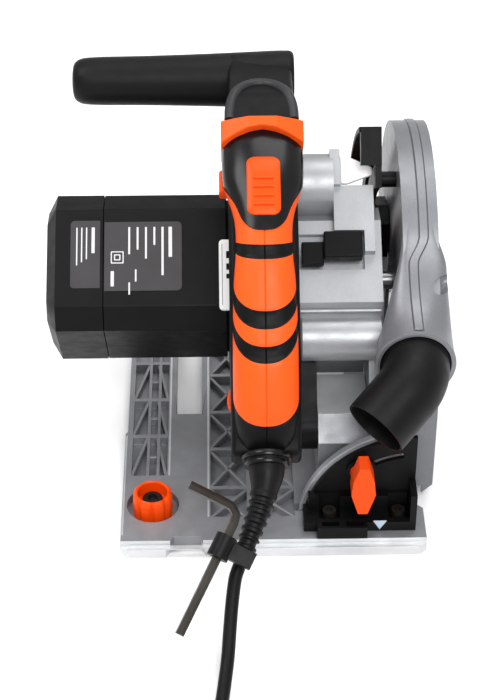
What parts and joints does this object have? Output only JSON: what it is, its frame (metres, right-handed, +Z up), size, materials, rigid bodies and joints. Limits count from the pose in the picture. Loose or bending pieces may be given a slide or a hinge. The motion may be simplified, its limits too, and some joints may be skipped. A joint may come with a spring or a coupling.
{
  "type": "track plunge saw",
  "caption": "Corded circular saw that plunges about a rear pivot and bevels to 45 degrees on a cast base for a guide rail, with closed blade cover and dust elbow.",
  "frame": {"origin": "on the sole of the base plate, midway between its two long edges and its two ends", "axes": "+Z up from the sole, +Y the cutting direction, +X towards the blade side"},
  "size_m": [0.2495, 0.5653, 0.2389],
  "materials": {
    "cast_alloy": "sand-cast, painted silver",
    "base_alloy": "die-cast, dark grey, machined edges",
    "black_plastic": "fine moulded texture",
    "orange_plastic": "moulded, satin",
    "orange_grip": "soft-touch",
    "black_rubber": "matte",
    "steel": "ground",
    "blackened_steel": "blackened",
    "copper": "bare",
    "laminated_iron": "varnished",
    "pointer_white": "moulded"
  },
  "bodies": {
    "base": {"base_plate": "base_alloy", "rear_bevel_bracket": "black_plastic", "front_bevel_bracket": "black_plastic", "rear_bracket_screw_left": "blackened_steel", "rear_bracket_screw_right": "blackened_steel", "front_bracket_screw_left": "blackened_steel", "front_bracket_screw_right": "blackened_steel", "cord_run": "black_rubber", "cord_coil": "black_rubber", "cord_tie": "black_rubber", "plug": "black_rubber"},
    "rear_cam": {"rear_rail_cam_knob": "orange_plastic"},
    "front_cam": {"front_rail_cam_knob": "orange_plastic"},
    "rear_clamp": {"rear_bevel_knob": "orange_plastic"},
    "front_clamp": {"front_bevel_knob": "orange_plastic"},
    "blade_housing": {"frame_casting": "cast_alloy", "rear_sector": "cast_alloy", "front_sector": "cast_alloy", "blade_cover": "cast_alloy", "pivot_pin": "steel", "depth_scale": "black_plastic", "return_spring": "steel"},
    "elbow": {"dust_elbow": "black_plastic"},
    "stop_slider": {"depth_stop": "black_plastic"},
    "stop_knob": {"depth_stop_knob": "orange_plastic"},
    "saw_unit": {"gear_housing": "cast_alloy", "motor_housing": "black_plastic", "motor_end_cap": "black_plastic", "handle_left": "black_plastic", "handle_right": "black_plastic", "grip_left": "orange_grip", "grip_right": "orange_grip", "front_collar": "orange_plastic", "front_handle": "black_plastic", "strain_relief": "black_rubber", "key_holder": "black_rubber", "stator": "laminated_iron", "motor_bearing_outer": "steel", "motor_bearing_inner": "steel", "spindle_bearing": "steel", "brush_upper": "copper", "brush_lower": "copper", "switch_unit": "black_plastic", "depth_pointer": "pointer_white"},
    "spindle": {"spindle_gear": "steel", "spindle_shaft": "steel", "inner_flange": "steel", "outer_flange": "steel", "blade_bolt": "blackened_steel", "blade": "steel"},
    "armature": {"armature_shaft": "steel", "armature_core": "laminated_iron", "commutator": "copper", "fan": "black_plastic"},
    "trigger_lever": {"trigger": "black_plastic"},
    "slide_switch": {"safety_slide": "orange_plastic"},
    "lock": {"lock_button": "orange_plastic"},
    "dial": {"speed_dial": "orange_plastic"},
    "spindle_stop": {"spindle_lock": "black_plastic"},
    "key": {"hex_key": "blackened_steel"}
  },
  "joints": [
    {"name": "rear_cam_turn", "type": "hinge", "parent": "base", "child": "rear_cam", "pos_m": [-0.0755, -0.112, 0.007], "axis": [0, 0, 1], "range_deg": [-90, 90]},
    {"name": "front_cam_turn", "type": "hinge", "parent": "base", "child": "front_cam", "pos_m": [-0.0755, 0.116, 0.007], "axis": [0, 0, 1], "range_deg": [-90, 90]},
    {"name": "rear_clamp_turn", "type": "hinge", "parent": "base", "child": "rear_clamp", "pos_m": [0.05466, -0.122, 0.04574], "axis": [0, 1, 0], "range_deg": [-90, 90]},
    {"name": "front_clamp_turn", "type": "hinge", "parent": "base", "child": "front_clamp", "pos_m": [0.05466, 0.129, 0.04574], "axis": [0, 1, 0], "range_deg": [-90, 90]},
    {"name": "bevel_tilt", "type": "hinge", "parent": "base", "child": "blade_housing", "pos_m": [0.0895, 0, 0], "axis": [0, 1, 0], "range_deg": [0, 45]},
    {"name": "elbow_turn", "type": "hinge", "parent": "blade_housing", "child": "elbow", "pos_m": [0.086, -0.105, 0.115], "axis": [0, 1, 0], "range_deg": [-15, 120]},
    {"name": "stop_slide", "type": "hinge", "parent": "blade_housing", "child": "stop_slider", "pos_m": [0.06, -0.088, 0.052], "axis": [1, 0, 0], "range_deg": [0, 33]},
    {"name": "stop_knob_turn", "type": "hinge", "parent": "stop_slider", "child": "stop_knob", "pos_m": [0.055, 0.07682, 0.08703], "axis": [1, 0, 0], "range_deg": [-180, 180]},
    {"name": "plunge", "type": "hinge", "parent": "blade_housing", "child": "saw_unit", "pos_m": [0, -0.088, 0.052], "axis": [1, 0, 0], "range_deg": [-36, 0], "stiffness_Nm_per_rad": 6, "springref_deg": 68.75},
    {"name": "blade_spin", "type": "hinge", "parent": "saw_unit", "child": "spindle", "pos_m": [0.06, 0.01198, 0.09404], "axis": [1, 0, 0], "continuous": true},
    {"name": "armature_spin", "type": "hinge", "parent": "saw_unit", "child": "armature", "pos_m": [-0.04, -0.01116, 0.11313], "axis": [1, 0, 0], "continuous": true},
    {"name": "trigger_press", "type": "slide", "parent": "saw_unit", "child": "trigger_lever", "axis": [0, -0.5736, 0.8192], "range_m": [0, 0.004], "stiffness_N_per_m": 1200, "springref_m": -0.002},
    {"name": "slide_back", "type": "slide", "parent": "saw_unit", "child": "slide_switch", "axis": [0, 0.8192, 0.5736], "range_m": [-0.007, 0], "stiffness_N_per_m": 800, "springref_m": 0.003},
    {"name": "lock_press", "type": "slide", "parent": "saw_unit", "child": "lock", "axis": [1, 0, 0], "range_m": [0, 0.003], "stiffness_N_per_m": 1000, "springref_m": -0.002},
    {"name": "dial_turn", "type": "hinge", "parent": "saw_unit", "child": "dial", "pos_m": [-0.017, -0.12356, 0.10279], "axis": [0, -0.5736, 0.8192], "range_deg": [0, 270]},
    {"name": "spindle_lock_press", "type": "slide", "parent": "saw_unit", "child": "spindle_stop", "axis": [0, 0.5736, -0.8192], "range_m": [0, 0.0025], "stiffness_N_per_m": 1500, "springref_m": -0.002},
    {"name": "key_pull", "type": "slide", "parent": "saw_unit", "child": "key", "axis": [0.4465, 0.7042, 0.552], "range_m": [0, 0.02]}
  ],
  "couplings": [
    {"joint": "armature_spin", "follows": "blade_spin", "ratio": -3.1667}
  ]
}
